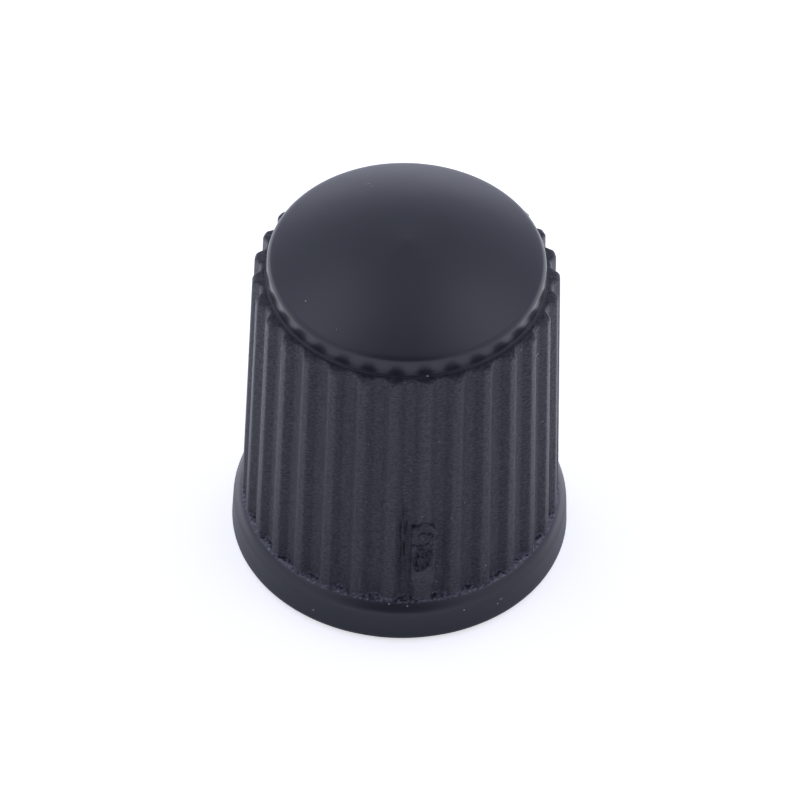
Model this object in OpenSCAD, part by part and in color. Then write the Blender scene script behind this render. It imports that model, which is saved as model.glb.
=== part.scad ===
// Screw-on dust cap for a tyre valve, moulded in one piece of black plastic.
// The mouth is at the bottom and faces down, and the cap stands on its rim.
// All sizes are in millimetres. The cap's axis is Z, and the front faces -Y.

/* [Collar] */
// Diameter over the collar
collar_d = 10.4; // [10.2:0.1:11.4]
// Height of the collar above the mouth
collar_h = 1.5; // [1.3:0.05:2]
// Lean of the collar's side, in degrees
collar_draft = 2.4; // [0:0.2:5]
// Radius of the collar's lower edge
foot_r = 0.26; // [0.1:0.02:0.4]
// Radius of the collar's shoulder, up to where the ribs stand
shoulder_r = 0.5; // [0.3:0.05:0.6]

/* [Ribbed grip] */
// Height of the flat rib tops above the mouth
ledge_z = 10.73; // [9.8:0.01:11.2]
// Diameter over the ribs at their tops
rib_top_d = 9.35; // [9.3:0.01:9.5]
// Slope of the ribs, in degrees, so that they leave the mould
rib_draft = 1.42; // [0.5:0.02:2]
// Number of ribs
rib_count = 30; // [24:1:36]
// Turn of the first rib from the front, in degrees
rib_turn = -3; // [-6:0.5:6]
// Width of a rib's crest at its top
crest_w = 0.3; // [0.2:0.02:0.4]
// Depth of the valleys between the ribs
valley_depth = 0.36; // [0.2:0.02:0.4]
// Width of a valley's floor
floor_w = 0.06; // [0.04:0.01:0.12]
// Radius of the ribs' long edges
rib_edge_r = 0.08; // [0.04:0.01:0.12]
// Chamfer at the ribs' top corners
rib_end = 0.06; // [0.02:0.01:0.12]

/* [Crown] */
// Diameter of the plain wall above the rib tops
crown_d = 8.49; // [8.3:0.01:8.55]
// Height of that wall, up to where its corner starts to turn
crown_wall_h = 0.54; // [0.3:0.02:0.8]
// Radius of the corner between wall and crown
corner_r = 0.22; // [0.1:0.02:0.6]
// Radius of the crown's arc
crown_r = 12; // [9:0.5:20]
// Radius of the crown's middle, which is a flat cone and leaves a slight point
cone_r = 1.2; // [0.4:0.1:2]

/* [Gate scar] */
// Turn of the scar from the front, in degrees, on the crest of the next rib
gate_turn = 9; // [9:12:345]
// Width of the raised land that the gate left
gate_w = 0.7; // [0.5:0.02:0.8]
// Height of the land's top above the mouth
gate_top_z = 4.9; // [3.5:0.05:6]
// How far the land stands proud of the rib
gate_proud = 0.05; // [0.02:0.01:0.1]
// Depth of the torn hollow in the land
tear_depth = 0.12; // [0.04:0.01:0.15]
// Length of the torn hollow
tear_len = 1.2; // [0.8:0.1:2.4]
// Height of the middle of the torn hollow
tear_z = 3.4; // [3:0.05:4.1]

/* [Inside] */
// Diameter at the root of the cap's thread, clear of the valve's own thread
bore_d = 7.8; // [7.6:0.02:7.9]
// Diameter of the recess at the mouth
mouth_d = 8.3; // [8:0.05:8.6]
// Depth of the recess at the mouth
mouth_h = 0.7; // [0.4:0.05:1]
// Height at which the threaded bore ends
bore_top_z = 7.2; // [6:0.1:7.6]
// Diameter of the chamber above the conical seat
chamber_d = 6.1; // [6.05:0.05:6.6]
// Height of the roof inside
roof_z = 11; // [10.6:0.05:11.2]
// Radius of the corner between chamber and roof
roof_corner_r = 0.6; // [0.3:0.05:1]

/* [Hidden] */
$fn = 96;
colour = [0.16, 0.165, 0.19];
collar_r = collar_d / 2;
rib_top_r = rib_top_d / 2;
wall_r = crown_d / 2;
bore_r = bore_d / 2;
mouth_r = mouth_d / 2;
chamber_r = chamber_d / 2;
overlap = 0.5;

// Radius over the ribs at a height, on the drafted cone that the crests lie on
function crest_r(z) = rib_top_r + (ledge_z - z) * tan(rib_draft);

// Length of the shoulder circle's centre along the collar's leaning side
side_len = (collar_h - shoulder_r - foot_r - (foot_r - shoulder_r) * sin(collar_draft))
    / cos(collar_draft);
shoulder_x = collar_r - foot_r + (foot_r - shoulder_r) * cos(collar_draft)
    - side_len * sin(collar_draft);
shoulder_z = collar_h - shoulder_r;

// The collar in half section: two rounded corners joined by a leaning side
module collar_section() {
    lean = [cos(collar_draft), sin(collar_draft)];
    foot = [collar_r - foot_r, foot_r];
    shoulder = [shoulder_x, shoulder_z];
    translate(foot) circle(foot_r);
    translate(shoulder) circle(shoulder_r);
    polygon([
        [0, 0],
        [foot.x, 0],
        foot + foot_r * lean,
        shoulder + shoulder_r * lean,
        [shoulder.x, collar_h],
        [0, collar_h]
    ]);
}

// Height of the centre of the crown's arc, where the corner's circle runs into it
corner_x = wall_r - corner_r;
corner_z = ledge_z + crown_wall_h;
arc_z = corner_z - sqrt(pow(crown_r - corner_r, 2) - pow(corner_x, 2));
join_angle = atan2(corner_z - arc_z, corner_x);
join_x = crown_r * cos(join_angle);
join_z = crown_r * sin(join_angle) + arc_z;
// The flat cone in the middle carries on at the slope that the arc has there
cone_angle = asin(cone_r / crown_r);
cone_z = crown_r * cos(cone_angle) + arc_z;
tip_z = cone_z + cone_r * tan(cone_angle);

// The plain wall and the crown in half section
module crown_section() {
    translate([corner_x, corner_z]) circle(corner_r);
    polygon([
        [0, collar_h],
        [wall_r, collar_h],
        [wall_r, corner_z],
        [join_x, join_z],
        [cone_r, join_z],
        [cone_r, cone_z],
        [0, tip_z]
    ]);
    intersection() {
        translate([0, arc_z]) circle(crown_r, $fn = 360);
        translate([cone_r, corner_z]) square([join_x - cone_r, crown_r]);
    }
}

// The collar, the wall inside the ribs and the crown, turned in one piece
module outer_body() {
    rotate_extrude() {
        collar_section();
        crown_section();
    }
}

// One valley across its length: x runs outwards from the floor, y along the rim
module valley_section() {
    floor_r = rib_top_r - valley_depth;
    turn = 180 / rib_count - asin(crest_w / 2 / rib_top_r);
    out = [cos(turn), sin(turn)];
    edge = rib_top_r * out - [floor_r, 0];
    centre = edge - rib_edge_r * out;
    corner = [0, floor_w / 2];
    to_centre = centre - corner;
    reach = norm(to_centre);
    flank_angle = atan2(to_centre.y, to_centre.x) - asin(rib_edge_r / reach);
    flank_len = sqrt(reach * reach - rib_edge_r * rib_edge_r);
    foot = corner + flank_len * [cos(flank_angle), sin(flank_angle)];
    side = [corner, foot, edge, edge + overlap * out];
    difference() {
        polygon(concat(side, [for (i = [3:-1:0]) [side[i].x, -side[i].y]]));
        for (s = [-1, 1])
            translate([centre.x, s * centre.y]) circle(rib_edge_r, $fn = 48);
    }
}

// The valley's cutter, leaning with the ribs and long enough to pass both ends
module valley_cutter() {
    translate([rib_top_r - valley_depth, 0, ledge_z])
        rotate([0, -rib_draft, 0])
            translate([0, 0, -ledge_z])
                linear_extrude(height = ledge_z + overlap)
                    valley_section();
}

// The cone that the crests lie on, from inside the collar to the rib tops
module rib_cone() {
    rotate_extrude()
        polygon([
            [0, collar_h - overlap],
            [crest_r(collar_h - overlap), collar_h - overlap],
            [crest_r(ledge_z - rib_end), ledge_z - rib_end],
            [rib_top_r - rib_end, ledge_z],
            [0, ledge_z]
        ]);
}

// The grip: the cone with a valley cut half a step to the side of each rib
module grip() {
    step = 360 / rib_count;
    difference() {
        rib_cone();
        for (i = [0:rib_count - 1])
            rotate([0, 0, rib_turn - 90 + (i + 0.5) * step]) valley_cutter();
    }
}

// The land left by the gate: an arch-topped pad that leans with its rib
module gate_land() {
    pad_foot_z = collar_h - overlap;
    pad_h = gate_top_z - pad_foot_z;
    spring = pad_h - gate_w / 2;
    depth = valley_depth;
    scoop_r = (tear_len * tear_len / 4 + tear_depth * tear_depth) / (2 * tear_depth);
    rotate([0, 0, gate_turn - 90])
        translate([crest_r(pad_foot_z) + gate_proud, 0, pad_foot_z])
            rotate([0, -rib_draft, 0])
                difference() {
                    rotate([90, 0, -90])
                        linear_extrude(height = depth) {
                            translate([-gate_w / 2, 0]) square([gate_w, spring]);
                            translate([0, spring]) circle(gate_w / 2);
                        }
                    translate([scoop_r - tear_depth, 0, tear_z - pad_foot_z])
                        rotate([90, 0, 0])
                            cylinder(h = gate_w + overlap, r = scoop_r, center = true, $fn = 180);
                }
}

// Everything hollow: mouth recess, threaded bore, conical seat and chamber
module inside() {
    lead = mouth_r - bore_r;
    seat_h = bore_r - chamber_r;
    corner = [chamber_r - roof_corner_r, roof_z - roof_corner_r];
    rotate_extrude() {
        translate(corner) intersection() {
            circle(roof_corner_r);
            square(roof_corner_r);
        }
        polygon([
            [0, -overlap],
            [mouth_r, -overlap],
            [mouth_r, mouth_h],
            [bore_r, mouth_h + lead],
            [bore_r, bore_top_z],
            [chamber_r, bore_top_z + seat_h],
            [chamber_r, corner.y],
            corner,
            [corner.x, roof_z],
            [0, roof_z]
        ]);
    }
}

module cap() {
    color(colour)
        difference() {
            union() {
                outer_body();
                grip();
                gate_land();
            }
            inside();
        }
}

cap();
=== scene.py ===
"""A tyre valve cap in black moulded plastic, dressed on the frame of its solid model.

The cap stands mouth down. Its axis is Z and the photographed front faces -Y. Sizes are in
millimetres, as on a maker's drawing, and become metres where a mesh is written.
"""

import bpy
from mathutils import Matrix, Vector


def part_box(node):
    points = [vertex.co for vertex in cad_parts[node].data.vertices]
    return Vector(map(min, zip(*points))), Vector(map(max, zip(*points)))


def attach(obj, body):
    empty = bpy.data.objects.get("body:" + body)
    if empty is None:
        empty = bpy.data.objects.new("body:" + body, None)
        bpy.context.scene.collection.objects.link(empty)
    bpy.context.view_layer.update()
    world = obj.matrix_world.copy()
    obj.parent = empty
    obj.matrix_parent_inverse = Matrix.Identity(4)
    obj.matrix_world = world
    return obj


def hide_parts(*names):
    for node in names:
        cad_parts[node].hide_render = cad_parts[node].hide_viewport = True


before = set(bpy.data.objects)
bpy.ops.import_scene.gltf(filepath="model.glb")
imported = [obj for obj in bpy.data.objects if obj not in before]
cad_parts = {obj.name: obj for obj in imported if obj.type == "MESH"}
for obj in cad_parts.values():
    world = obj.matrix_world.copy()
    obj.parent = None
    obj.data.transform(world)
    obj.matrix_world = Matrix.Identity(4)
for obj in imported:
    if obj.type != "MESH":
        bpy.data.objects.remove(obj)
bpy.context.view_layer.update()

import logging
import math
from dataclasses import dataclass, field
from typing import Any

import bmesh
import bpy
from mathutils import Matrix, Vector, noise
from mathutils.bvhtree import BVHTree

logging.basicConfig(level=logging.INFO, format="%(message)s")
log = logging.getLogger("valve_cap")

MM = 0.001
NODE = "cap"
BODY = "root"

Point2 = tuple[float, float]
Point3 = tuple[float, float, float]


def srgb(code: str) -> tuple[float, float, float, float]:
    """Turns an sRGB hex colour into the linear colour that a node takes.

    Args:
        code: the colour as six hex digits after a #.

    Returns:
        Linear red, green and blue, and an alpha of 1.
    """
    shares = [int(code[i : i + 2], 16) / 255 for i in (1, 3, 5)]
    linear = [c / 12.92 if c <= 0.04045 else ((c + 0.055) / 1.055) ** 2.4 for c in shares]
    return (*linear, 1.0)


def add_node(
    tree: bpy.types.NodeTree,
    kind: str,
    inputs: dict[str | int, Any] | None = None,
    **settings: Any,
) -> bpy.types.Node:
    """Adds a node to a tree, with its settings, values and links.

    Args:
        tree: the node tree that gets the node.
        kind: Blender's name of the node type.
        inputs: for each input, by name or number, the socket to link or the value to set.
        settings: the node's own properties.

    Returns:
        The new node.
    """
    node = tree.nodes.new(kind)
    for name, value in settings.items():
        setattr(node, name, value)
    for key, value in (inputs or {}).items():
        if isinstance(value, bpy.types.NodeSocket):
            tree.links.new(value, node.inputs[key])
        else:
            node.inputs[key].default_value = value
    return node


def new_geometry_tree(
    name: str, inputs: dict[str, tuple[str, Any]]
) -> tuple[bpy.types.NodeTree, bpy.types.Node]:
    """Makes a geometry tree with named inputs and one geometry output.

    Args:
        name: what the tree makes.
        inputs: for each input, its socket type and the value that it starts from.

    Returns:
        The tree and its group input node.
    """
    tree = bpy.data.node_groups.new(name, "GeometryNodeTree")
    tree.interface.new_socket("Geometry", in_out="INPUT", socket_type="NodeSocketGeometry")
    for label, (socket_type, value) in inputs.items():
        socket = tree.interface.new_socket(label, in_out="INPUT", socket_type=socket_type)
        if value is not None:
            socket.default_value = value
    tree.interface.new_socket("Geometry", in_out="OUTPUT", socket_type="NodeSocketGeometry")
    return tree, add_node(tree, "NodeGroupInput")


def grow(piece: bpy.types.Object, tree: bpy.types.NodeTree, values: dict[str, Any]) -> None:
    """Runs a geometry tree on a piece once and keeps the result as a plain mesh.

    Args:
        piece: the object that the tree works on.
        tree: the geometry tree.
        values: the inputs to set, by their names in the tree.
    """
    modifier = piece.modifiers.new("grow", "NODES")
    modifier.node_group = tree
    for item in tree.interface.items_tree:
        if item.item_type == "SOCKET" and item.in_out == "INPUT" and item.name in values:
            modifier[item.identifier] = values[item.name]
    depsgraph = bpy.context.evaluated_depsgraph_get()
    mesh = bpy.data.meshes.new_from_object(
        piece.evaluated_get(depsgraph), preserve_all_data_layers=True, depsgraph=depsgraph
    )
    piece.modifiers.remove(modifier)
    bare = piece.data
    piece.data = mesh
    mesh.name = piece.name
    bpy.data.meshes.remove(bare)


def new_piece(name: str, points: list[Point3], faces: list[tuple[int, ...]]) -> bpy.types.Object:
    """Makes a mesh object at the origin from points in millimetres.

    Args:
        name: the piece's name.
        points: its corners, in millimetres.
        faces: its faces, as runs of corner numbers.

    Returns:
        The object, linked to the scene.
    """
    mesh = bpy.data.meshes.new(name)
    mesh.from_pydata([tuple(c * MM for c in p) for p in points], [], faces)
    piece = bpy.data.objects.new(name, mesh)
    bpy.context.scene.collection.objects.link(piece)
    return piece


def hand_over(piece: bpy.types.Object) -> bpy.types.Object:
    """Puts a finished piece on the cap's body, checks that it is closed, and reports it.

    Args:
        piece: the finished piece.

    Returns:
        The same piece.
    """
    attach(piece, BODY)
    shape = bmesh.new()
    shape.from_mesh(piece.data)
    open_edges = sum(1 for edge in shape.edges if len(edge.link_faces) != 2)
    volume = shape.calc_volume(signed=True) / MM**3
    triangles = sum(len(face.verts) - 2 for face in shape.faces)
    shape.free()
    log.info(
        "%s: %d triangles, %.3f mm3, %d open edges", piece.name, triangles, volume, open_edges
    )
    return piece


def spread(start: Point2, end: Point2, rows: int) -> list[Point2]:
    """Points evenly spaced along a straight line, without its start and with its end."""
    return [
        (start[0] + (end[0] - start[0]) * i / rows, start[1] + (end[1] - start[1]) * i / rows)
        for i in range(1, rows + 1)
    ]


def arc(centre: Point2, radius: float, start: float, end: float, rows: int) -> list[Point2]:
    """Points evenly spaced along an arc, without its start and with its end.

    Args:
        centre: the arc's centre.
        radius: its radius.
        start: the angle it starts at, in degrees, from the first axis towards the second.
        end: the angle it ends at, in degrees.
        rows: the number of points.

    Returns:
        The points in order.
    """
    angles = [math.radians(start + (end - start) * i / rows) for i in range(1, rows + 1)]
    return [(centre[0] + radius * math.cos(a), centre[1] + radius * math.sin(a)) for a in angles]


@dataclass(frozen=True)
class CapSizes:
    """The moulding's driving sizes in millimetres and degrees, from its rim upwards."""

    collar_r: float
    tip_z: float
    collar_h: float = 1.5
    collar_draft: float = 2.4
    foot_r: float = 0.26
    shoulder_r: float = 0.5
    ledge_z: float = 10.73
    rib_top_r: float = 4.675
    rib_draft: float = 1.42
    rib_count: int = 30
    rib_turn: float = -3.0
    crest_w: float = 0.14
    valley_depth: float = 0.21
    floor_w: float = 0.3
    rib_edge_r: float = 0.12
    rib_floor_r: float = 0.12
    rib_end: float = 0.13
    wall_r: float = 4.245
    crown_wall_h: float = 0.54
    corner_r: float = 0.22
    crown_r: float = 12.0
    cone_r: float = 1.2
    step_r: float = 4.295
    step_h: float = 0.03
    mouth_r: float = 4.15
    mouth_h: float = 0.7
    bore_r: float = 3.9
    bore_top_z: float = 7.2
    chamber_r: float = 3.05
    roof_z: float = 11.0
    roof_corner_r: float = 0.6

    @classmethod
    def from_frame(cls) -> "CapSizes":
        """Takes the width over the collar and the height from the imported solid."""
        low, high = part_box(NODE)
        return cls(collar_r=(high.x - low.x) / 2 / MM, tip_z=high.z / MM)

    @property
    def step_angle(self) -> float:
        """Angle from one rib to the next, in degrees."""
        return 360 / self.rib_count

    def spread_at(self, z: float) -> float:
        """How much further out than at the ledge the ribs stand at a height."""
        return (self.ledge_z - z) * math.tan(math.radians(self.rib_draft))

    def crest_r(self, z: float) -> float:
        """Radius over the ribs' crests at a height."""
        return self.rib_top_r + self.spread_at(z)

    @property
    def shoulder_centre(self) -> Point2:
        """Centre of the collar's shoulder circle, as radius and height."""
        lean = math.radians(self.collar_draft)
        z = self.collar_h - self.shoulder_r
        rise = z - self.foot_r - (self.foot_r - self.shoulder_r) * math.sin(lean)
        side = rise / math.cos(lean)
        r = self.collar_r - self.foot_r + (self.foot_r - self.shoulder_r) * math.cos(lean)
        return r - side * math.sin(lean), z

    def shoulder_z(self, r: float) -> float:
        """Height of the shelf and of the shoulder that follows it, at a radius."""
        centre_r, centre_z = self.shoulder_centre
        out = max(0.0, r - centre_r)
        return centre_z + math.sqrt(self.shoulder_r**2 - out**2)


@dataclass(frozen=True)
class Column:
    """One vertical line of the ribbed skin, seen from above in a valley's own frame.

    The valley's middle line is the first axis. The point is the line's place at the ledge,
    and slide is the direction in which it moves outwards as the ribs' draft opens.
    """

    point: Point2
    slide: Point2

    def at(self, out: float) -> Point2:
        """The line's place where the ribs stand further out by a distance."""
        return self.point[0] + out * self.slide[0], self.point[1] + out * self.slide[1]

    def polar(self, out: float) -> Point2:
        """The same place as angle in radians and radius."""
        x, y = self.at(out)
        return math.atan2(y, x), math.hypot(x, y)


@dataclass
class RibSection:
    """The cross section of the grip over one valley, from rib middle to rib middle."""

    sizes: CapSizes
    round_rows: int = 3
    hollow_rows: int = 2
    flank_rows: int = 1

    def half(self) -> list[Column]:
        """The columns from the valley's middle to the middle of the rib beside it."""
        s = self.sizes
        floor_r = s.rib_top_r - s.valley_depth
        half_step = math.radians(s.step_angle / 2)
        turn = half_step - math.asin(s.crest_w / 2 / s.rib_top_r)
        centre = (
            (s.rib_top_r - s.rib_edge_r) * math.cos(turn),
            (s.rib_top_r - s.rib_edge_r) * math.sin(turn),
        )
        corner = (floor_r, s.floor_w / 2)
        reach_x = centre[0] - corner[0]
        reach_y = centre[1] - corner[1]
        reach = math.hypot(reach_x, reach_y)
        flank = math.atan2(reach_y, reach_x) - math.asin(s.rib_edge_r / reach)
        length = math.sqrt(reach**2 - s.rib_edge_r**2)
        foot = (corner[0] + length * math.cos(flank), corner[1] + length * math.sin(flank))
        turned = math.pi / 2 - flank
        run_in = s.rib_floor_r * math.tan(turned / 2)
        points = [(floor_r, 0.0), (floor_r, corner[1] - run_in)]
        points += arc(
            (floor_r + s.rib_floor_r, corner[1] - run_in),
            s.rib_floor_r,
            180,
            180 - math.degrees(turned),
            self.hollow_rows,
        )
        points += spread(points[-1], foot, self.flank_rows)
        points += arc(
            centre,
            s.rib_edge_r,
            math.degrees(flank) - 90,
            math.degrees(turn),
            self.round_rows,
        )
        columns = [Column(p, (1.0, 0.0)) for p in points]
        out = (math.cos(half_step), math.sin(half_step))
        columns.append(Column((s.rib_top_r * out[0], s.rib_top_r * out[1]), out))
        return columns

    def whole(self) -> list[Column]:
        """The columns of the whole pitch, in the direction in which angles grow."""
        half = self.half()
        mirrored = [
            Column((c.point[0], -c.point[1]), (c.slide[0], -c.slide[1])) for c in half[:0:-1]
        ]
        return mirrored + half


@dataclass
class CapSkin:
    """The whole moulding as one closed skin: crown, ribbed grip, collar and hollow inside.

    One valley's share of it is written column by column, and a geometry tree repeats that
    share round the axis, welds it and roughens it as the mould left it.
    """

    sizes: CapSizes
    material: bpy.types.Material
    rib_rows: int = 84
    weld_mm: float = 0.0005
    sag_height_mm: float = 0.012
    sag_size_mm: float = 1.6
    crinkle_height_mm: float = 0.012
    crinkle_size_mm: float = 0.16
    crinkle_low_z: float = 1.4
    crinkle_high_z: float = 1.62
    sharp_deg: float = 58.0
    section: RibSection = field(init=False)

    def __post_init__(self) -> None:
        """Sets out the ribs' cross section."""
        self.section = RibSection(self.sizes)

    def crown_outline(self) -> list[Point2]:
        """Radius and height from the crown's tip down to the ledge's inner edge."""
        s = self.sizes
        corner = (s.wall_r - s.corner_r, s.ledge_z + s.crown_wall_h)
        arc_z = corner[1] - math.sqrt((s.crown_r - s.corner_r) ** 2 - corner[0] ** 2)
        join = math.degrees(math.atan2(corner[1] - arc_z, corner[0]))
        cone = math.degrees(math.asin(s.cone_r / s.crown_r))
        cone_z = s.crown_r * math.cos(math.radians(cone)) + arc_z
        tip_r = 0.02
        tip_drop = tip_r * math.tan(math.radians(cone)) / 2
        points = [(0.0, s.tip_z - tip_drop), (tip_r, s.tip_z - 2 * tip_drop)]
        points += spread(points[-1], (s.cone_r, cone_z), 6)
        points += arc((0.0, arc_z), s.crown_r, 90 - cone, join, 20)
        points += arc(corner, s.corner_r, join, 0.0, 8)
        fillet = 0.02
        inner_z = s.ledge_z + s.step_h
        points += spread(points[-1], (s.wall_r, inner_z + fillet), 4)
        points += arc((s.wall_r + fillet, inner_z + fillet), fillet, 180, 270, 2)
        points += spread(points[-1], (s.step_r - 0.006, inner_z), 1)
        points += spread(points[-1], (s.step_r + 0.006, s.ledge_z), 1)
        return points

    def grip_column(self, column: Column) -> list[Point3]:
        """One column's points from the ledge's inner edge to its foot on the shoulder.

        Args:
            column: the column in the valley's frame.

        Returns:
            Its points in the valley's frame, in millimetres.
        """
        s = self.sizes
        angle, top_r = column.polar(0.0)
        end_r = top_r - s.rib_end
        ledge_start = (s.step_r + 0.006, s.ledge_z)
        flat = spread(ledge_start, (end_r, s.ledge_z), 4)
        drop = top_r - end_r
        rounded = arc((end_r, s.ledge_z - drop), drop, 90, 0, 4)
        points = [(r * math.cos(angle), r * math.sin(angle), z) for r, z in flat + rounded]
        top_z = s.ledge_z - drop
        foot_z = self.foot_z(column)
        for i in range(1, self.rib_rows + 1):
            z = top_z + (foot_z - top_z) * i / self.rib_rows
            out = s.spread_at(z) - s.spread_at(top_z)
            points.append((*column.at(out), z))
        return points

    def foot_z(self, column: Column) -> float:
        """Height at which a column of the ribs meets the shelf or the shoulder."""
        z = self.sizes.collar_h
        for _ in range(8):
            z = self.sizes.shoulder_z(column.polar(self.sizes.spread_at(z))[1])
        return z

    def collar_outline(self, start_r: float) -> list[Point2]:
        """Radius and height from a rib's foot over the shoulder and round to the rim."""
        s = self.sizes
        centre = s.shoulder_centre
        shelf_end = s.crest_r(s.collar_h) + 0.03
        reach = [start_r + (shelf_end - start_r) * i / 8 for i in range(1, 9)]
        points = [(r, s.shoulder_z(r)) for r in reach]
        start = math.degrees(math.asin((points[-1][1] - centre[1]) / s.shoulder_r))
        points += arc(centre, s.shoulder_r, start, s.collar_draft, 8)
        lean = math.radians(s.collar_draft)
        foot = (s.collar_r - s.foot_r, s.foot_r)
        side_end = (foot[0] + s.foot_r * math.cos(lean), foot[1] + s.foot_r * math.sin(lean))
        points += spread(points[-1], side_end, 3)
        points += arc(foot, s.foot_r, s.collar_draft, -90, 8)
        return points

    def inside_outline(self) -> list[Point2]:
        """Radius and height from the rim into the mouth and up to the roof's middle."""
        s = self.sizes
        lip = 0.05
        lead = s.mouth_r - s.bore_r
        points = [(s.mouth_r + lip, 0.0)]
        points += arc((s.mouth_r + lip, lip), lip, -90, -180, 3)
        points += spread(points[-1], (s.mouth_r, s.mouth_h), 2)
        points += spread(points[-1], (s.bore_r, s.mouth_h + lead), 2)
        points += spread(points[-1], (s.bore_r, s.bore_top_z), 8)
        points += spread(points[-1], (s.chamber_r, s.bore_top_z + s.bore_r - s.chamber_r), 2)
        corner = (s.chamber_r - s.roof_corner_r, s.roof_z - s.roof_corner_r)
        points += spread(points[-1], (s.chamber_r, corner[1]), 2)
        points += arc(corner, s.roof_corner_r, 0, 90, 4)
        points += spread(points[-1], (0.0, s.roof_z), 3)
        return points

    def column_points(self, column: Column) -> list[Point3]:
        """All points of one column, from the crown's tip to the middle of the roof inside."""
        top_angle = column.polar(0.0)[0]
        grip = self.grip_column(column)
        foot_angle = math.atan2(grip[-1][1], grip[-1][0])
        foot_r = math.hypot(grip[-1][0], grip[-1][1])
        above = self.crown_outline()
        below = self.collar_outline(foot_r) + self.inside_outline()
        points = [(r * math.cos(top_angle), r * math.sin(top_angle), z) for r, z in above]
        points += grip
        points += [(r * math.cos(foot_angle), r * math.sin(foot_angle), z) for r, z in below]
        return points

    def share(self) -> bpy.types.Object:
        """One valley's share of the skin, as an open patch from rib middle to rib middle."""
        columns = [self.column_points(c) for c in self.section.whole()]
        rows = len(columns[0])
        points = [p for column in columns for p in column]
        faces = [
            (c * rows + i, c * rows + i + 1, (c + 1) * rows + i + 1, (c + 1) * rows + i)
            for c in range(len(columns) - 1)
            for i in range(rows - 1)
        ]
        return new_piece("cap_skin", points, faces)

    def tree(self) -> bpy.types.NodeTree:
        """The geometry tree that repeats the share, welds it and roughens it."""
        tree, given = new_geometry_tree(
            "ribbed skin round an axis",
            {
                "Shares": ("NodeSocketInt", 30),
                "Turn": ("NodeSocketFloat", 0.0),
                "Weld": ("NodeSocketFloat", 1e-6),
                "Sag height": ("NodeSocketFloat", 0.0),
                "Sag size": ("NodeSocketFloat", 0.001),
                "Crinkle height": ("NodeSocketFloat", 0.0),
                "Crinkle size": ("NodeSocketFloat", 0.001),
                "Crinkle low": ("NodeSocketFloat", 0.0),
                "Crinkle high": ("NodeSocketFloat", 0.001),
                "Crinkle inner": ("NodeSocketFloat", 0.004),
                "Sharp angle": ("NodeSocketFloat", 1.0),
                "Plastic": ("NodeSocketMaterial", None),
            },
        )
        wanted = given.outputs
        points = add_node(tree, "GeometryNodePoints", {"Count": wanted["Shares"]})
        index = add_node(tree, "GeometryNodeInputIndex")
        step = add_node(
            tree, "ShaderNodeMath", {0: math.tau, 1: wanted["Shares"]}, operation="DIVIDE"
        )
        angle = add_node(
            tree,
            "ShaderNodeMath",
            {0: index.outputs[0], 1: step.outputs[0], 2: wanted["Turn"]},
            operation="MULTIPLY_ADD",
        )
        euler = add_node(tree, "ShaderNodeCombineXYZ", {"Z": angle.outputs[0]})
        turned = add_node(tree, "FunctionNodeEulerToRotation", {0: euler.outputs[0]})
        copies = add_node(
            tree,
            "GeometryNodeInstanceOnPoints",
            {
                "Points": points.outputs[0],
                "Instance": wanted["Geometry"],
                "Rotation": turned.outputs[0],
            },
        )
        real = add_node(tree, "GeometryNodeRealizeInstances", {0: copies.outputs[0]})
        welded = add_node(
            tree,
            "GeometryNodeMergeByDistance",
            {"Geometry": real.outputs[0], "Distance": wanted["Weld"]},
        )
        place = add_node(tree, "GeometryNodeInputPosition")
        normal = add_node(tree, "GeometryNodeInputNormal")
        parts = add_node(tree, "ShaderNodeSeparateXYZ", {0: place.outputs[0]})
        sag = self.push(tree, place, wanted["Sag size"], wanted["Sag height"], 1.0)
        crinkle = self.push(tree, place, wanted["Crinkle size"], wanted["Crinkle height"], 3.0)
        low = add_node(
            tree,
            "ShaderNodeMath",
            {0: parts.outputs["Z"], 1: wanted["Crinkle low"]},
            operation="GREATER_THAN",
        )
        high = add_node(
            tree,
            "ShaderNodeMath",
            {0: parts.outputs["Z"], 1: wanted["Crinkle high"]},
            operation="LESS_THAN",
        )
        flat = add_node(tree, "ShaderNodeCombineXYZ", {0: parts.outputs[0], 1: parts.outputs[1]})
        radius = add_node(tree, "ShaderNodeVectorMath", {0: flat.outputs[0]}, operation="LENGTH")
        outside = add_node(
            tree,
            "ShaderNodeMath",
            {0: radius.outputs["Value"], 1: wanted["Crinkle inner"]},
            operation="GREATER_THAN",
        )
        band = add_node(
            tree, "ShaderNodeMath", {0: low.outputs[0], 1: high.outputs[0]}, operation="MULTIPLY"
        )
        shelf = add_node(
            tree, "ShaderNodeMath", {0: band.outputs[0], 1: outside.outputs[0]}, operation="MULTIPLY"
        )
        total = add_node(
            tree,
            "ShaderNodeMath",
            {0: crinkle.outputs[0], 1: shelf.outputs[0], 2: sag.outputs[0]},
            operation="MULTIPLY_ADD",
        )
        offset = add_node(
            tree,
            "ShaderNodeVectorMath",
            {0: normal.outputs[0], "Scale": total.outputs[0]},
            operation="SCALE",
        )
        moved = add_node(
            tree,
            "GeometryNodeSetPosition",
            {"Geometry": welded.outputs[0], "Offset": offset.outputs[0]},
        )
        smooth = add_node(tree, "GeometryNodeSetShadeSmooth", {"Geometry": moved.outputs[0]})
        bend = add_node(tree, "GeometryNodeInputMeshEdgeAngle")
        sharp = add_node(
            tree,
            "ShaderNodeMath",
            {0: bend.outputs[0], 1: wanted["Sharp angle"]},
            operation="GREATER_THAN",
        )
        edged = add_node(
            tree,
            "GeometryNodeSetShadeSmooth",
            {"Geometry": smooth.outputs[0], "Selection": sharp.outputs[0], "Shade Smooth": False},
            domain="EDGE",
        )
        dressed = add_node(
            tree,
            "GeometryNodeSetMaterial",
            {"Geometry": edged.outputs[0], "Material": wanted["Plastic"]},
        )
        add_node(tree, "NodeGroupOutput", {0: dressed.outputs[0]})
        return tree

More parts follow.
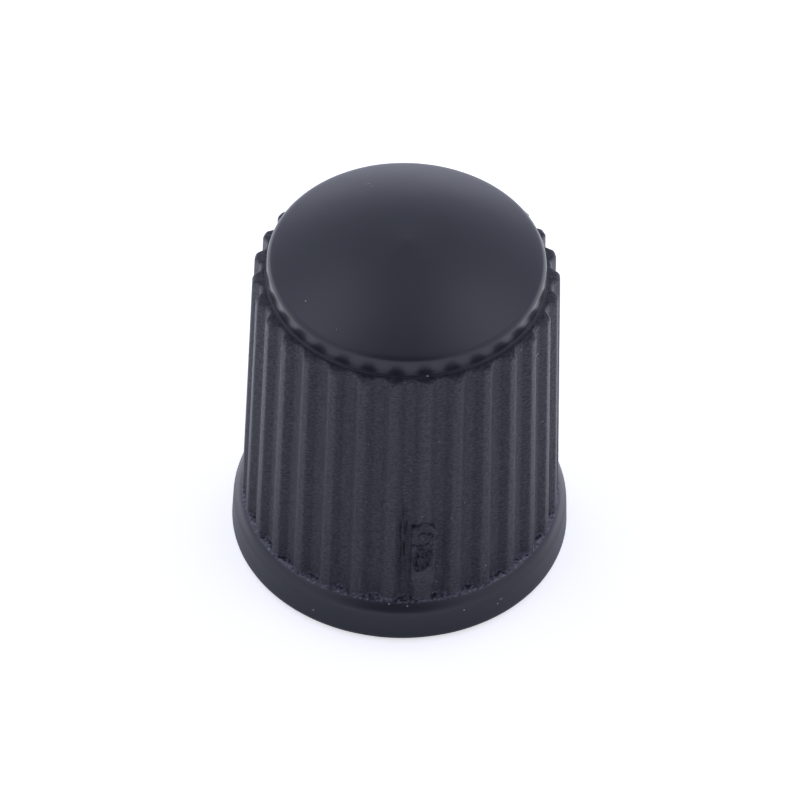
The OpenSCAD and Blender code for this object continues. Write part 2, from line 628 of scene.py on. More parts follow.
    def push(
        self,
        tree: bpy.types.NodeTree,
        place: bpy.types.Node,
        size: bpy.types.NodeSocket,
        height: bpy.types.NodeSocket,
        detail: float,
    ) -> bpy.types.Node:
        """Adds a noise that pushes the surface in and out.

        Args:
            tree: the geometry tree.
            place: the position node.
            size: the socket that gives the size of the noise's swells, in metres.
            height: the socket that gives how far it pushes at most, in metres.
            detail: how many finer layers the noise has.

        Returns:
            A node whose first output is the push in metres.
        """
        rate = add_node(tree, "ShaderNodeMath", {0: 1.0, 1: size}, operation="DIVIDE")
        swell = add_node(
            tree,
            "ShaderNodeTexNoise",
            {"Vector": place.outputs[0], "Scale": rate.outputs[0], "Detail": detail},
        )
        centred = add_node(
            tree, "ShaderNodeMath", {0: swell.outputs[0], 1: 0.5}, operation="SUBTRACT"
        )
        return add_node(
            tree, "ShaderNodeMath", {0: centred.outputs[0], 1: height}, operation="MULTIPLY"
        )

    def build(self) -> bpy.types.Object:
        """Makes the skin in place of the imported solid."""
        s = self.sizes
        piece = self.share()
        first_valley = s.rib_turn + s.step_angle / 2 - 90
        grow(
            piece,
            self.tree(),
            {
                "Shares": s.rib_count,
                "Turn": math.radians(first_valley),
                "Weld": self.weld_mm * MM,
                "Sag height": self.sag_height_mm * MM,
                "Sag size": self.sag_size_mm * MM,
                "Crinkle height": self.crinkle_height_mm * MM,
                "Crinkle size": self.crinkle_size_mm * MM,
                "Crinkle low": self.crinkle_low_z * MM,
                "Crinkle high": self.crinkle_high_z * MM,
                "Crinkle inner": (s.rib_top_r - s.valley_depth) * MM,
                "Sharp angle": math.radians(self.sharp_deg),
                "Plastic": self.material,
            },
        )
        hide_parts(NODE)
        return piece


@dataclass
class ThreadRidge:
    """The ridge of the inside thread that screws onto the valve, right-handed."""

    sizes: CapSizes
    material: bpy.types.Material
    pitch: float = 0.794
    crest_r: float = 3.46
    crest_w: float = 0.1
    root_w: float = 0.6
    sunk: float = 0.06
    start_z: float = 1.15
    end_z: float = 6.7
    taper_turns: float = 0.4
    steps_per_turn: int = 64

    def tree(self) -> bpy.types.NodeTree:
        """The geometry tree that sweeps the ridge's section along a helix."""
        tree, given = new_geometry_tree(
            "thread ridge on a helix",
            {
                "Turns": ("NodeSocketFloat", 6.0),
                "Steps per turn": ("NodeSocketInt", 64),
                "Helix radius": ("NodeSocketFloat", 0.004),
                "Height": ("NodeSocketFloat", 0.005),
                "Start height": ("NodeSocketFloat", 0.001),
                "Taper": ("NodeSocketFloat", 0.1),
                "Plastic": ("NodeSocketMaterial", None),
            },
        )
        wanted = given.outputs
        helix = add_node(
            tree,
            "GeometryNodeCurveSpiral",
            {
                "Resolution": wanted["Steps per turn"],
                "Rotations": wanted["Turns"],
                "Start Radius": wanted["Helix radius"],
                "End Radius": wanted["Helix radius"],
                "Height": wanted["Height"],
            },
        )
        upright = add_node(
            tree, "GeometryNodeSetCurveNormal", {"Curve": helix.outputs[0]}, mode="Z_UP"
        )
        along = add_node(tree, "GeometryNodeSplineParameter")
        back = add_node(
            tree, "ShaderNodeMath", {0: 1.0, 1: along.outputs["Factor"]}, operation="SUBTRACT"
        )
        end = add_node(
            tree,
            "ShaderNodeMath",
            {0: along.outputs["Factor"], 1: back.outputs[0]},
            operation="MINIMUM",
        )
        run_out = add_node(
            tree,
            "ShaderNodeMapRange",
            {0: end.outputs[0], "From Max": wanted["Taper"], "To Min": 0.05},
            interpolation_type="SMOOTHSTEP",
        )
        section = add_node(tree, "GeometryNodeMeshToCurve", {0: wanted["Geometry"]})
        swept = add_node(
            tree,
            "GeometryNodeCurveToMesh",
            {
                "Curve": upright.outputs[0],
                "Profile Curve": section.outputs[0],
                "Scale": run_out.outputs[0],
                "Fill Caps": True,
            },
        )
        lift = add_node(tree, "ShaderNodeCombineXYZ", {"Z": wanted["Start height"]})
        lifted = add_node(
            tree,
            "GeometryNodeTransform",
            {"Geometry": swept.outputs[0], "Translation": lift.outputs[0]},
        )
        real = add_node(tree, "GeometryNodeRealizeInstances", {0: lifted.outputs[0]})
        dressed = add_node(
            tree,
            "GeometryNodeSetMaterial",
            {"Geometry": real.outputs[0], "Material": wanted["Plastic"]},
        )
        add_node(tree, "NodeGroupOutput", {0: dressed.outputs[0]})
        return tree

    def outline(self) -> bpy.types.Object:
        """The ridge's section as a closed ring of edges, with its root on the helix."""
        depth = self.sizes.bore_r + self.sunk - self.crest_r
        corners = [
            (0.0, -self.root_w / 2),
            (depth, -self.crest_w / 2),
            (depth + 0.015, 0.0),
            (depth, self.crest_w / 2),
            (0.0, self.root_w / 2),
        ]
        mesh = bpy.data.meshes.new("thread_ridge")
        edges = [(i, (i + 1) % len(corners)) for i in range(len(corners))]
        mesh.from_pydata([(x * MM, y * MM, 0.0) for x, y in corners], edges, [])
        piece = bpy.data.objects.new("thread_ridge", mesh)
        bpy.context.scene.collection.objects.link(piece)
        return piece

    def build(self) -> bpy.types.Object:
        """Makes the ridge inside the bore."""
        piece = self.outline()
        turns = (self.end_z - self.start_z) / self.pitch
        grow(
            piece,
            self.tree(),
            {
                "Turns": turns,
                "Steps per turn": self.steps_per_turn,
                "Helix radius": (self.sizes.bore_r + self.sunk) * MM,
                "Height": (self.end_z - self.start_z) * MM,
                "Start height": self.start_z * MM,
                "Taper": self.taper_turns / turns,
                "Plastic": self.material,
            },
        )
        shape = bmesh.new()
        shape.from_mesh(piece.data)
        bmesh.ops.recalc_face_normals(shape, faces=shape.faces)
        shape.to_mesh(piece.data)
        shape.free()
        return hand_over(piece)


@dataclass
class GateScar:
    """The land that the gate left on one rib: an arch-topped pad with a torn hollow.

    Along the rib's breadth the places are measured from its middle, and upwards from the rim.
    """

    sizes: CapSizes
    material: bpy.types.Material
    turn: float = 9.0
    width: float = 0.7
    top_z: float = 4.9
    shoulder_z: float = 4.58
    foot_z: float = 1.58
    foot_width: float = 0.5
    foot_end_z: float = 2.7
    proud: float = 0.06
    sunk: float = 0.24
    edge_round: float = 0.045
    tear_z: float = 3.42
    tear_half_w: float = 0.27
    tear_half_h: float = 0.58
    tear_depth: float = 0.16
    crack_z: float = 3.97
    crack_depth: float = 0.13
    crack_w: float = 0.04
    swirl_z: float = 4.33
    swirl_r: float = 0.19
    swirl_depth: float = 0.08
    torn_low_z: float = 2.8
    line_z: float = 4.48
    pit_r: float = 0.06
    rough_mm: float = 0.13
    columns: int = 56
    rows: int = 190
    press: float = 0.17

    def half_width(self, z: float) -> float:
        """Half the land's width at a height: a torn arch on top and a narrower foot."""
        wide = self.width / 2
        if z > self.shoulder_z:
            share = (z - self.shoulder_z) / (self.top_z - self.shoulder_z)
            return wide * max(0.03, 1 - share**1.2)
        share = min(1.0, max(0.0, (self.foot_end_z - z) / (self.foot_end_z - self.foot_z) * 1.6))
        return wide + (self.foot_width / 2 - wide) * share * share * (3 - 2 * share)

    def relief(self, s: float, z: float) -> float:
        """How far the land's face stands above its plane, in millimetres.

        Args:
            s: the place across the land, from the rib's middle.
            z: the height above the rim.

        Returns:
            The height of the face, negative in the torn hollow, the crack and the pits.
        """
        hollow = ((s + 0.03) / self.tear_half_w) ** 2 + ((z - self.tear_z) / self.tear_half_h) ** 2
        hollow += 0.9 * noise.noise(Vector((s * 6, z * 5, 2.0)))
        torn = max(0.0, min(1.0, 1.0 - hollow)) ** 0.5
        lift = -self.tear_depth * torn
        place = Vector((s, z, 0.0)) / self.rough_mm
        ragged = min(1.0, max(0.0, (z - self.torn_low_z) / 0.25))
        lift += (0.005 + 0.045 * ragged + 0.02 * torn) * noise.fractal(place, 0.8, 2.1, 5)
        bend = 0.07 * noise.noise(Vector((s * 8, z * 8, 5.0)))
        ring = (math.hypot(s - 0.03, (z - self.swirl_z) * 1.2) - self.swirl_r - bend) / 0.04
        upper = min(1.0, max(0.0, (z - self.swirl_z + 0.4 * s + 0.06) / 0.1))
        lift -= self.swirl_depth * math.exp(-ring * ring) * upper
        sway = 0.09 * noise.noise(Vector((s * 5, 3.1, 0.7))) + 0.12 * s
        crack = (z - self.crack_z - sway) / self.crack_w
        if s < 0.16:
            lift -= self.crack_depth * math.exp(-crack * crack)
        line = (z - self.line_z - sway) / 0.02
        lift -= 0.012 * math.exp(-line * line)
        for pit_s, pit_z, deep in ((0.05, 4.3, 0.035), (-0.124, 3.38, 0.1), (0.12, 3.05, 0.03)):
            reach = math.hypot(s - pit_s, z - pit_z) / self.pit_r
            lift -= deep * math.exp(-reach * reach * 1.5)
        lip = (hollow - 1.08) / 0.16
        return lift + 0.018 * math.exp(-lip * lip)

    def point(self, s: float, z: float, r: float) -> Point3:
        """A place on the land in the cap's own axes."""
        angle = math.radians(self.turn - 90) + s / self.sizes.rib_top_r
        return r * math.cos(angle), r * math.sin(angle), z

    def press_skin(self, skin: bpy.types.Object) -> None:
        """Sinks the skin under the land, so that the torn hollow stays open."""
        s = self.sizes
        for vertex in skin.data.vertices:
            x, y, z = (c / MM for c in vertex.co)
            across = (math.atan2(y, x) - math.radians(self.turn - 90)) * s.rib_top_r
            if not self.foot_end_z - 0.2 < z < self.crack_z + 0.1:
                continue
            if abs(across) > self.half_width(z) - 0.06:
                continue
            limit = s.crest_r(z) - self.press
            r = math.hypot(x, y)
            if limit < r < s.crest_r(z) + self.proud:
                vertex.co = Vector((x * limit / r, y * limit / r, z)) * MM

    def build(self) -> bpy.types.Object:
        """Makes the land as a closed block that stands in its rib."""
        s = self.sizes
        points = []
        for j in range(self.rows + 1):
            z = self.foot_z + (self.top_z - self.foot_z) * j / self.rows
            half = self.half_width(z)
            plane = s.crest_r(z) + self.proud * min(1.0, (z - self.foot_z) / 0.7)
            points.append(self.point(-half, z, s.crest_r(z) - self.sunk))
            sway = 0.035 * noise.noise(Vector((0.4, 1.3, z * 7))) * min(1.0, max(0.0, z - 2.8))
            for i in range(self.columns + 1):
                u = 2 * i / self.columns - 1
                edge = max(0.0, (abs(u) * half - half + self.edge_round) / self.edge_round)
                top_edge = max(0.0, 1 - (self.top_z - z) / self.edge_round)
                rounding = self.edge_round * (edge**2 + top_edge**2) * 0.8
                across = half * u + sway
                points.append(self.point(across, z, plane - rounding + self.relief(across, z)))
            points.append(self.point(half, z, s.crest_r(z) - self.sunk))
        ring = self.columns + 3
        faces = []
        for j in range(self.rows):
            for i in range(ring - 1):
                a = j * ring + i
                faces.append((a, a + 1, a + ring + 1, a + ring))
            faces.append((j * ring + ring - 1, j * ring, (j + 1) * ring, (j + 1) * ring + ring - 1))
        faces.append(tuple(range(ring - 1, -1, -1)))
        faces.append(tuple(range(self.rows * ring, (self.rows + 1) * ring)))
        piece = new_piece("gate_scar", points, faces)
        piece.data.polygons.foreach_set("use_smooth", [len(f) == 4 for f in faces])
        piece.data.materials.append(self.material)
        return hand_over(piece)


@dataclass(frozen=True)
class Speck:
    """One grain of dust, by the photograph's pixel that it shows at."""

    x: float
    y: float
    length: float
    width: float
    turn: float = 0.0


@dataclass
class Dust:
    """Pale dust grains and short fibres that lie on the cap where the photograph has them."""

    camera: "PhotoCamera"
    skin: bpy.types.Object
    specks: tuple[Speck, ...]
    sides: int = 8
    rings: int = 4

    def build(self) -> bpy.types.Object:
        """Drops each grain onto the skin along the photograph's line of sight."""
        depsgraph = bpy.context.evaluated_depsgraph_get()
        tree = BVHTree.FromObject(self.skin, depsgraph)
        points: list[Point3] = []
        faces: list[tuple[int, ...]] = []
        start = self.camera.place() * MM
        for speck in self.specks:
            place, normal, _, _ = tree.ray_cast(start, self.camera.ray(speck.x, speck.y))
            if place is None:
                continue
            self.add_grain(points, faces, speck, place / MM, normal)
        piece = new_piece("dust", points, faces)
        piece.data.polygons.foreach_set("use_smooth", [True] * len(faces))
        piece.data.materials.append(PaleDust().build())
        return hand_over(piece)

    def add_grain(
        self,
        points: list[Point3],
        faces: list[tuple[int, ...]],
        speck: Speck,
        place: Vector,
        normal: Vector,
    ) -> None:
        """Adds one lumpy grain, longer than wide, pressed flat on the skin.

        Args:
            points: the mesh's corners so far.
            faces: the mesh's faces so far.
            speck: the grain's size and turn.
            place: where it lies, in millimetres.
            normal: the skin's direction there.
        """
        right, up, _ = self.camera.axes()
        turn = math.radians(speck.turn)
        along = (right * math.cos(turn) + up * math.sin(turn)).cross(normal).cross(normal)
        along.normalize()
        across = normal.cross(along)
        first = len(points)
        for ring in range(1, self.rings):
            polar = math.pi * ring / self.rings
            for side in range(self.sides):
                angle = math.tau * side / self.sides
                spot = Vector(
                    (math.cos(polar), math.sin(polar) * math.cos(angle), math.sin(polar) * math.sin(angle))
                )
                lump = 1 + 0.35 * noise.noise(spot * 1.7 + place * 3)
                point = place + lump / 2 * (
                    along * spot.x * speck.length
                    + across * spot.y * speck.width
                    + normal * spot.z * speck.width * 0.6
                )
                points.append(tuple(point))
        for ring in range(self.rings - 2):
            for side in range(self.sides):
                a = first + ring * self.sides + side
                b = first + ring * self.sides + (side + 1) % self.sides
                faces.append((a, a + self.sides, b + self.sides, b))
        last = first + (self.rings - 2) * self.sides
        faces.append(tuple(range(first, first + self.sides)))
        faces.append(tuple(range(last + self.sides - 1, last - 1, -1)))


@dataclass(frozen=True)
class PaleDust:
    """House dust: matt pale grey fluff."""

    name: str = "pale house dust"
    base: str = "#b9bac4"

    def build(self) -> bpy.types.Material:
        """Makes the material, mottled like fluff."""
        material = bpy.data.materials.new(self.name)
        material.use_nodes = True
        tree = material.node_tree
        tree.nodes.clear()
        place = add_node(tree, "ShaderNodeTexCoord").outputs["Object"]
        fluff = add_node(
            tree, "ShaderNodeTexNoise", {"Vector": place, "Scale": 20}
        ).outputs[0]
        colour = add_node(
            tree,
            "ShaderNodeMix",
            {0: fluff, 6: srgb("#8f909b"), 7: srgb(self.base)},
            data_type="RGBA",
        ).outputs[2]
        shader = add_node(
            tree, "ShaderNodeBsdfPrincipled", {"Base Color": colour, "Roughness": 0.9}
        )
        add_node(tree, "ShaderNodeOutputMaterial", {"Surface": shader.outputs[0]})
        return material


@dataclass(frozen=True)
class BlackPlastic:
    """Black polypropylene, injection moulded in a steel mould.

    Soot black with a cool cast. The grip has the fine grain of a spark-eroded mould, which
    breaks up the light, while crown and collar were polished and keep a satin shine. The grain's
    colour is painted darker in its hollows and paler on its tops as shade and highlight, and pale
    flecks are painted on the shelf at the valleys' feet as its highlight.
    """

    name: str = "black moulded polypropylene"
    base: str = "#25272f"
    # Grain colours: its hollows painted in shade, its tops painted as a highlight.
    grain_hollow_shade: str = "#1b1c23"
    grain_top_highlight: str = "#44464f"
    ior: float = 1.5
    satin: float = 0.33
    grained: float = 0.5
    grain_mm: float = 0.11
    grain_flatness: float = 2.2
    grain_height_mm: float = 0.06
    # Pale flecks painted as the highlight of the lit shelf at the valleys' feet.
    painted_shelf_highlight: str = "#747582"
    highlight_fleck_mm: float = 0.09
    scratch: str = "#08090c"
    scratch_turn: float = 1.7
    scratch_half_turn: float = 1.9

    def window(
        self,
        tree: bpy.types.NodeTree,
        value: bpy.types.NodeSocket,
        stops: tuple[float, float, float, float],
    ) -> bpy.types.NodeSocket:
        """Is 1 between the two inner stops and 0 outside the outer ones.

        Args:
            tree: the material's tree.
            value: what is measured.
            stops: where the window starts to open, is open, starts to close, and is closed.

        Returns:
            The socket that carries the window's share.
        """
        opening = add_node(
            tree,
            "ShaderNodeMapRange",
            {0: value, "From Min": stops[0], "From Max": stops[1]},
            interpolation_type="SMOOTHSTEP",
        ).outputs[0]
        closing = add_node(
            tree,
            "ShaderNodeMapRange",
            {0: value, "From Min": stops[3], "From Max": stops[2]},
            interpolation_type="SMOOTHSTEP",
        ).outputs[0]
        return add_node(
            tree, "ShaderNodeMath", {0: opening, 1: closing}, operation="MULTIPLY"
        ).outputs[0]

    def build(self, sizes: CapSizes) -> bpy.types.Material:
        """Makes the material.

        Args:
            sizes: the cap's sizes, which give the heights where one finish ends.

        Returns:
            The finished material.
        """
        material = bpy.data.materials.new(self.name)
        material.use_nodes = True
        tree = material.node_tree
        tree.nodes.clear()
        place = add_node(tree, "ShaderNodeTexCoord").outputs["Object"]
        mm = add_node(
            tree, "ShaderNodeVectorMath", {0: place, "Scale": 1 / MM}, operation="SCALE"
        ).outputs[0]
        height = add_node(tree, "ShaderNodeSeparateXYZ", {0: mm}).outputs["Z"]
        above = add_node(
            tree,
            "ShaderNodeMapRange",
            {0: height, "From Min": sizes.collar_h, "From Max": sizes.collar_h + 0.1},
        ).outputs[0]
        below = add_node(
            tree,
            "ShaderNodeMapRange",
            {0: height, "From Min": sizes.ledge_z + 0.02, "From Max": sizes.ledge_z - 0.02},
        ).outputs[0]
        grip = add_node(
            tree, "ShaderNodeMath", {0: above, 1: below}, operation="MULTIPLY"
        ).outputs[0]
        flattened = add_node(
            tree, "ShaderNodeMapping", {"Vector": mm, "Scale": (1.0, 1.0, self.grain_flatness)}
        ).outputs[0]
        grain = add_node(
            tree,
            "ShaderNodeTexNoise",
            {"Vector": flattened, "Scale": 1 / self.grain_mm, "Detail": 3.0, "Roughness": 0.6},
        ).outputs[0]
        roughness = add_node(
            tree,
            "ShaderNodeMapRange",
            {0: grip, "To Min": self.satin, "To Max": self.grained},
        ).outputs[0]
        relief = add_node(
            tree, "ShaderNodeMath", {0: grain, 1: grip}, operation="MULTIPLY"
        ).outputs[0]
        bump = add_node(
            tree,
            "ShaderNodeBump",
            {"Height": relief, "Strength": 1.0, "Distance": self.grain_height_mm * MM},
        ).outputs[0]
        # Painted shade and highlight: the grain is coloured dark in its hollows and pale on its tops, by
        # the same noise that drives its bump.
        spread_grain = add_node(
            tree, "ShaderNodeMapRange", {0: grain, "From Min": 0.36, "From Max": 0.64}
        ).outputs[0]
        grain_shade_and_highlight = add_node(
            tree,
            "ShaderNodeMix",
            {0: spread_grain, 6: srgb(self.grain_hollow_shade), 7: srgb(self.grain_top_highlight)},
            data_type="RGBA",
        ).outputs[2]
        colour = add_node(
            tree,
            "ShaderNodeMix",
            {0: grip, 6: srgb(self.base), 7: grain_shade_and_highlight},
            data_type="RGBA",
        ).outputs[2]
        flat = add_node(
            tree, "ShaderNodeMapping", {"Vector": mm, "Scale": (1.0, 1.0, 0.0)}
        ).outputs[0]
        radius = add_node(
            tree, "ShaderNodeVectorMath", {0: flat}, operation="LENGTH"
        ).outputs["Value"]
        # Painted highlight: pale flecks on the shelf ring at the valleys' feet, where the flat shelf
        # catches the light; the shelf's crinkled relief itself is in the skin's geometry.
        shelf = self.window(tree, height, (1.38, 1.44, 1.56, 1.66))
        ring = self.window(tree, radius, (4.6, 4.66, 4.88, 4.96))
        flecks = add_node(
            tree,
            "ShaderNodeTexNoise",
            {"Vector": mm, "Scale": 1 / self.highlight_fleck_mm, "Detail": 2.0},
        ).outputs[0]
        pale = add_node(
            tree, "ShaderNodeMapRange", {0: flecks, "From Min": 0.38, "From Max": 0.66}
        ).outputs[0]
        zone = add_node(tree, "ShaderNodeMath", {0: shelf, 1: ring}, operation="MULTIPLY").outputs[0]
        painted_shelf_highlight = add_node(
            tree, "ShaderNodeMath", {0: zone, 1: pale}, operation="MULTIPLY"
        ).outputs[0]
        colour = add_node(
            tree,
            "ShaderNodeMix",
            {0: painted_shelf_highlight, 6: colour, 7: srgb(self.painted_shelf_highlight)},
            data_type="RGBA",
        ).outputs[2]
        axes = add_node(tree, "ShaderNodeSeparateXYZ", {0: mm}).outputs
        front = add_node(
            tree, "ShaderNodeMath", {0: axes["Y"], 1: -1.0}, operation="MULTIPLY"
        ).outputs[0]
        turn = add_node(
            tree, "ShaderNodeMath", {0: axes["X"], 1: front}, operation="ARCTAN2"
        ).outputs[0]
        degrees = add_node(tree, "ShaderNodeMath", {0: turn}, operation="DEGREES").outputs[0]
        low_turn = self.scratch_turn - self.scratch_half_turn
        high_turn = self.scratch_turn + self.scratch_half_turn
        valley = self.window(tree, degrees, (low_turn, low_turn + 1, high_turn - 1, high_turn))
        reach = self.window(tree, height, (2.6, 3.2, 5.0, 5.9))
        stretched = add_node(
            tree, "ShaderNodeMapping", {"Vector": mm, "Scale": (1.0, 1.0, 0.1)}
        ).outputs[0]
        streaks = add_node(
            tree,
            "ShaderNodeTexNoise",
            {"Vector": stretched, "Scale": 14.0, "Detail": 3.0, "Roughness": 0.7},
        ).outputs[0]
        cut = add_node(
            tree, "ShaderNodeMapRange", {0: streaks, "From Min": 0.52, "From Max": 0.6}
        ).outputs[0]
        patch = add_node(
            tree, "ShaderNodeMath", {0: valley, 1: reach}, operation="MULTIPLY"
        ).outputs[0]
        scratched = add_node(
            tree, "ShaderNodeMath", {0: patch, 1: cut}, operation="MULTIPLY"
        ).outputs[0]
        colour = add_node(
            tree,
            "ShaderNodeMix",
            {0: scratched, 6: colour, 7: srgb(self.scratch)},
            data_type="RGBA",
        ).outputs[2]
        grooves = add_node(
            tree, "ShaderNodeMath", {0: scratched, 1: -1.0}, operation="MULTIPLY"
        ).outputs[0]
        bump = add_node(
            tree,
            "ShaderNodeBump",
            {"Height": grooves, "Distance": 0.05 * MM, "Normal": bump},
        ).outputs[0]
        shader = add_node(
            tree,
            "ShaderNodeBsdfPrincipled",
            {"Base Color": colour, "Roughness": roughness, "Normal": bump, "IOR": self.ior},
        )
        add_node(tree, "ShaderNodeOutputMaterial", {"Surface": shader.outputs[0]})
        return material


@dataclass(frozen=True)
class PaleFloor:
    """Matt white sheet: a faint soft shadow, and white where the light reaches it."""

    name: str = "matt white sheet"
    base: str = "#e9ebf0"
    lift: float = 0.6
    mirrored_lift: float = 0.34
    # Painted light: how much brighter the floor glows in reflections behind the cap.
    painted_glow_behind_gain: float = 2.4
    # Painted shadow: within these radii the floor's glow in reflections is cut down round the cap's foot.
    shade_r: float = 5.2
    open_r: float = 9.0

    def build(self) -> bpy.types.Material:
        """Makes the material, which looks whiter to the camera than the light makes it. In reflections it
        glows brighter behind the cap, as painted light, and dimmer round the cap's foot, as a painted
        shadow.
        """
        material = bpy.data.materials.new(self.name)
        material.use_nodes = True
        tree = material.node_tree
        tree.nodes.clear()
        path = add_node(tree, "ShaderNodeLightPath").outputs
        seen = add_node(
            tree,
            "ShaderNodeMath",
            {0: path["Is Camera Ray"], 1: path["Is Transmission Ray"]},
            operation="MAXIMUM",
        ).outputs[0]
        direct = add_node(
            tree, "ShaderNodeMath", {0: seen, 1: self.lift}, operation="MULTIPLY"
        ).outputs[0]
        place = add_node(tree, "ShaderNodeTexCoord").outputs["Object"]
        depth = add_node(tree, "ShaderNodeSeparateXYZ", {0: place}).outputs["Y"]
        # Painted light: in reflections the floor glows brighter behind the cap than in front.
        behind = add_node(
            tree,
            "ShaderNodeMapRange",
            {
                0: depth,
                "From Min": -6 * MM,
                "From Max": 6 * MM,
                "To Min": self.mirrored_lift,
                "To Max": self.mirrored_lift * (1 + self.painted_glow_behind_gain),
            },
            interpolation_type="SMOOTHSTEP",
        ).outputs[0]
        # Painted contact shadow: in reflections the floor's glow drops to 0.15 of itself near the cap's
        # foot.
        radius = add_node(
            tree, "ShaderNodeVectorMath", {0: place}, operation="LENGTH"
        ).outputs["Value"]
        painted_contact_shadow = add_node(
            tree,
            "ShaderNodeMapRange",
            {
                0: radius,
                "From Min": self.shade_r * MM,
                "From Max": self.open_r * MM,
                "To Min": 0.15,
            },
            interpolation_type="SMOOTHSTEP",
        ).outputs[0]
        mirrored = add_node(
            tree, "ShaderNodeMath", {0: behind, 1: painted_contact_shadow}, operation="MULTIPLY"
        ).outputs[0]
        strength = add_node(
            tree,
            "ShaderNodeMath",
            {0: path["Is Glossy Ray"], 1: mirrored, 2: direct},
            operation="MULTIPLY_ADD",
        ).outputs[0]
        glow = add_node(tree, "ShaderNodeEmission", {"Strength": strength}).outputs[0]
        matt = add_node(tree, "ShaderNodeBsdfDiffuse", {"Color": srgb(self.base)}).outputs[0]
        both = add_node(tree, "ShaderNodeAddShader", {0: matt, 1: glow}).outputs[0]
        add_node(tree, "ShaderNodeOutputMaterial", {"Surface": both})
        return material


@dataclass(frozen=True)
class PhotoCamera:
    """The photograph's camera, found from the cap's outline in its 800 pixel frame."""

    frame_px: int = 800
    elevation: float = 46.03
    distance: float = 300.0
    px_per_mm: float = 32.6
    lean: float = 1.665
    aim: Point3 = (-0.083, -0.346, 5.665)
    sensor: float = 36.0

    def axes(self) -> tuple[Vector, Vector, Vector]:
        """The picture's right and up directions and the way back to the camera."""
        e = math.radians(self.elevation)
        lean = math.radians(self.lean)
        back = Vector((0.0, -math.cos(e), math.sin(e)))
        level = Vector((1.0, 0.0, 0.0))
        up = Vector((0.0, math.sin(e), math.cos(e)))
        right = math.cos(lean) * level + math.sin(lean) * up
        return right, math.cos(lean) * up - math.sin(lean) * level, back

    def place(self) -> Vector:
        """Where the camera stands, in millimetres."""
        return Vector(self.aim) + self.distance * self.axes()[2]

    def ray(self, x: float, y: float) -> Vector:
        """Direction from the camera through a pixel of the photograph."""
        right, up, back = self.axes()
        focal_px = self.px_per_mm * self.distance
        middle = self.frame_px / 2
        return ((x - middle) * right - (y - middle) * up - focal_px * back).normalized()

    def build(self) -> bpy.types.Object:
        """Makes the camera and makes it the scene's own."""
        data = bpy.data.cameras.new("photo camera")
        data.sensor_width = self.sensor
        data.lens = self.px_per_mm * self.distance * self.sensor / self.frame_px
        data.clip_start = 0.01
        data.clip_end = 10.0
        camera = bpy.data.objects.new("photo camera", data)
        bpy.context.scene.collection.objects.link(camera)
        right, up, back = self.axes()
        turn = Matrix((right, up, back)).transposed().to_4x4()
        camera.matrix_world = Matrix.Translation(self.place() * MM) @ turn
        bpy.context.scene.camera = camera
        return camera


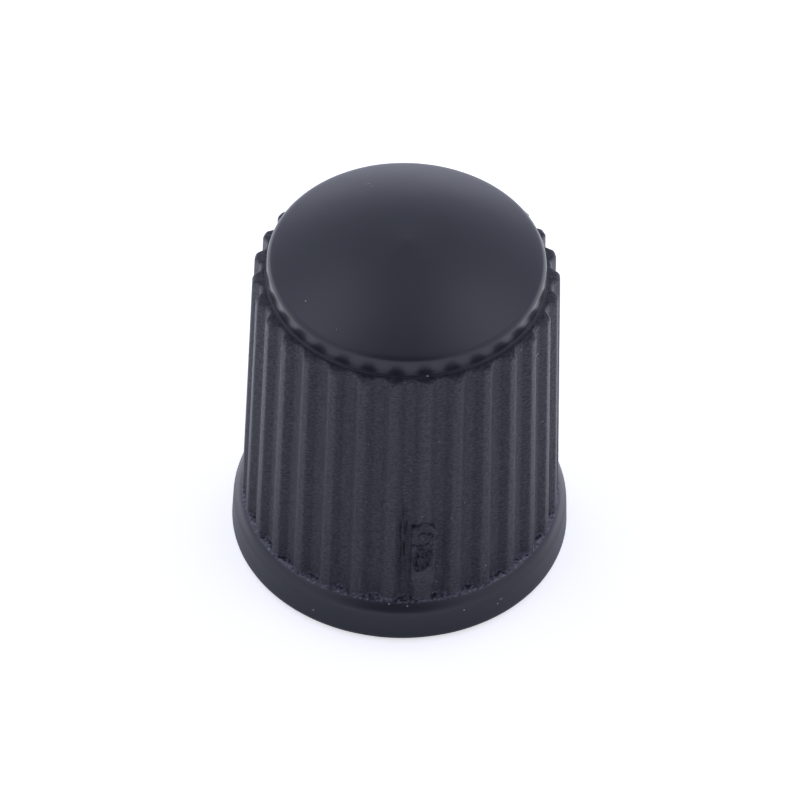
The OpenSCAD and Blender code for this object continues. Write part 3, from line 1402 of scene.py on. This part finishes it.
@dataclass
class Studio:
    """The pale floor and the soft light of a white tent around it."""

    floor_mm: float = 3000.0
    level: float = 0.8
    boxes: float = 1.45
    tint: str = "#e6e9ff"

    def floor(self) -> bpy.types.Object:
        """Makes the floor that the cap stands on."""
        half = self.floor_mm / 2
        corners = [(-half, -half, 0.0), (half, -half, 0.0), (half, half, 0.0), (-half, half, 0.0)]
        floor = new_piece("floor", corners, [(0, 1, 2, 3)])
        floor.data.materials.append(PaleFloor().build())
        return floor

    def tent(self) -> bpy.types.World:
        """Makes the white surroundings: brighter at the sides and low behind, dark in front."""
        world = bpy.data.worlds.new("white tent")
        world.use_nodes = True
        bpy.context.scene.world = world
        tree = world.node_tree
        tree.nodes.clear()
        way = add_node(tree, "ShaderNodeTexCoord").outputs["Generated"]
        parts = add_node(tree, "ShaderNodeSeparateXYZ", {0: way}).outputs
        side = add_node(tree, "ShaderNodeMath", {0: parts["X"]}, operation="ABSOLUTE").outputs[0]
        sides = add_node(
            tree, "ShaderNodeMath", {0: side, 1: 1.0, 2: 0.45}, operation="MULTIPLY_ADD"
        ).outputs[0]
        low = add_node(
            tree,
            "ShaderNodeMapRange",
            {0: parts["Z"], "From Min": 0.44, "From Max": 0.15, "To Max": 2.4},
            interpolation_type="SMOOTHSTEP",
        ).outputs[0]
        behind = add_node(
            tree,
            "ShaderNodeMapRange",
            {0: parts["Y"], "From Min": 0.1, "From Max": 0.5},
            interpolation_type="SMOOTHSTEP",
        ).outputs[0]
        high = add_node(
            tree,
            "ShaderNodeMapRange",
            {0: parts["Z"], "From Min": 0.7, "From Max": 0.86, "To Max": self.boxes},
            interpolation_type="SMOOTHSTEP",
        ).outputs[0]
        beside = add_node(
            tree,
            "ShaderNodeMapRange",
            {0: side, "From Min": 0.1, "From Max": 0.26},
            interpolation_type="SMOOTHSTEP",
        ).outputs[0]
        boxes = add_node(
            tree, "ShaderNodeMath", {0: high, 1: beside, 2: sides}, operation="MULTIPLY_ADD"
        ).outputs[0]
        low_behind = add_node(
            tree, "ShaderNodeMath", {0: low, 1: behind, 2: boxes}, operation="MULTIPLY_ADD"
        ).outputs[0]
        front = add_node(
            tree,
            "ShaderNodeMapRange",
            {0: parts["Y"], "From Min": 0.28, "From Max": 0.02},
            interpolation_type="SMOOTHSTEP",
        ).outputs[0]
        middle = add_node(
            tree,
            "ShaderNodeMapRange",
            {0: side, "From Min": 0.5, "From Max": 0.36, "To Max": 0.72},
            interpolation_type="SMOOTHSTEP",
        ).outputs[0]
        shade = add_node(
            tree, "ShaderNodeMath", {0: front, 1: middle}, operation="MULTIPLY"
        ).outputs[0]
        kept = add_node(
            tree, "ShaderNodeMath", {0: 1.0, 1: shade}, operation="SUBTRACT"
        ).outputs[0]
        lit = add_node(
            tree, "ShaderNodeMath", {0: low_behind, 1: kept}, operation="MULTIPLY"
        ).outputs[0]
        strength = add_node(
            tree, "ShaderNodeMath", {0: lit, 1: self.level}, operation="MULTIPLY"
        ).outputs[0]
        light = add_node(
            tree, "ShaderNodeBackground", {"Color": srgb(self.tint), "Strength": strength}
        ).outputs[0]
        white = add_node(tree, "ShaderNodeBackground", {"Color": srgb("#ffffff")}).outputs[0]
        camera = add_node(tree, "ShaderNodeLightPath").outputs["Is Camera Ray"]
        shown = add_node(tree, "ShaderNodeMixShader", {0: camera, 1: light, 2: white}).outputs[0]
        add_node(tree, "ShaderNodeOutputWorld", {"Surface": shown})
        return world

    def build(self) -> None:
        """Makes the floor and the surroundings, and keeps the picture's colours plain."""
        self.floor()
        self.tent()
        bpy.context.scene.view_settings.view_transform = "Standard"


DUST = (
    Speck(305.5, 301.0, 0.05, 0.05),
    Speck(255.0, 240.0, 0.04, 0.03),
    Speck(336.5, 329.5, 0.03, 0.03),
    Speck(372.0, 186.0, 0.1, 0.015, 50.0),
    Speck(537.0, 355.0, 0.26, 0.035, 0.0),
    Speck(521.0, 350.0, 0.07, 0.05),
    Speck(427.5, 376.0, 0.08, 0.06, 20.0),
    Speck(313.5, 610.0, 0.07, 0.05),
    Speck(464.0, 610.0, 0.07, 0.05),
    Speck(497.6, 603.6, 0.07, 0.05),
    Speck(542.3, 421.3, 0.07, 0.045),
    Speck(485.5, 565.0, 0.06, 0.045),
    Speck(407.5, 606.0, 0.06, 0.045),
    Speck(389.0, 604.0, 0.06, 0.045),
    Speck(501.0, 599.0, 0.14, 0.025, 25.0),
    Speck(422.5, 517.0, 0.05, 0.035),
    Speck(451.5, 518.0, 0.05, 0.035),
    Speck(437.0, 566.0, 0.05, 0.04),
    Speck(436.5, 581.5, 0.06, 0.04),
    Speck(368.0, 184.0, 0.16, 0.02, 30.0),
    Speck(419.5, 460.5, 0.05, 0.035),
    Speck(411.0, 470.5, 0.05, 0.035),
    Speck(366.0, 501.5, 0.05, 0.035),
    Speck(386.5, 486.0, 0.04, 0.03),
    Speck(368.5, 444.5, 0.06, 0.035, 70.0),
    Speck(439.0, 441.5, 0.05, 0.035),
    Speck(464.5, 502.5, 0.05, 0.035),
    Speck(413.0, 572.5, 0.04, 0.04),
    Speck(424.0, 571.0, 0.06, 0.05, 80.0),
    Speck(421.5, 587.0, 0.05, 0.05),
    Speck(433.5, 529.5, 0.04, 0.03),
)


def main() -> None:
    sizes = CapSizes.from_frame()
    plastic = BlackPlastic().build(sizes)
    camera = PhotoCamera()
    camera.build()
    Studio().build()
    skin = CapSkin(sizes, plastic).build()
    scar = GateScar(sizes, plastic)
    scar.press_skin(skin)
    hand_over(skin)
    scar.build()
    ThreadRidge(sizes, plastic).build()
    Dust(camera, skin, DUST).build()


if __name__ == "__main__":
    main()
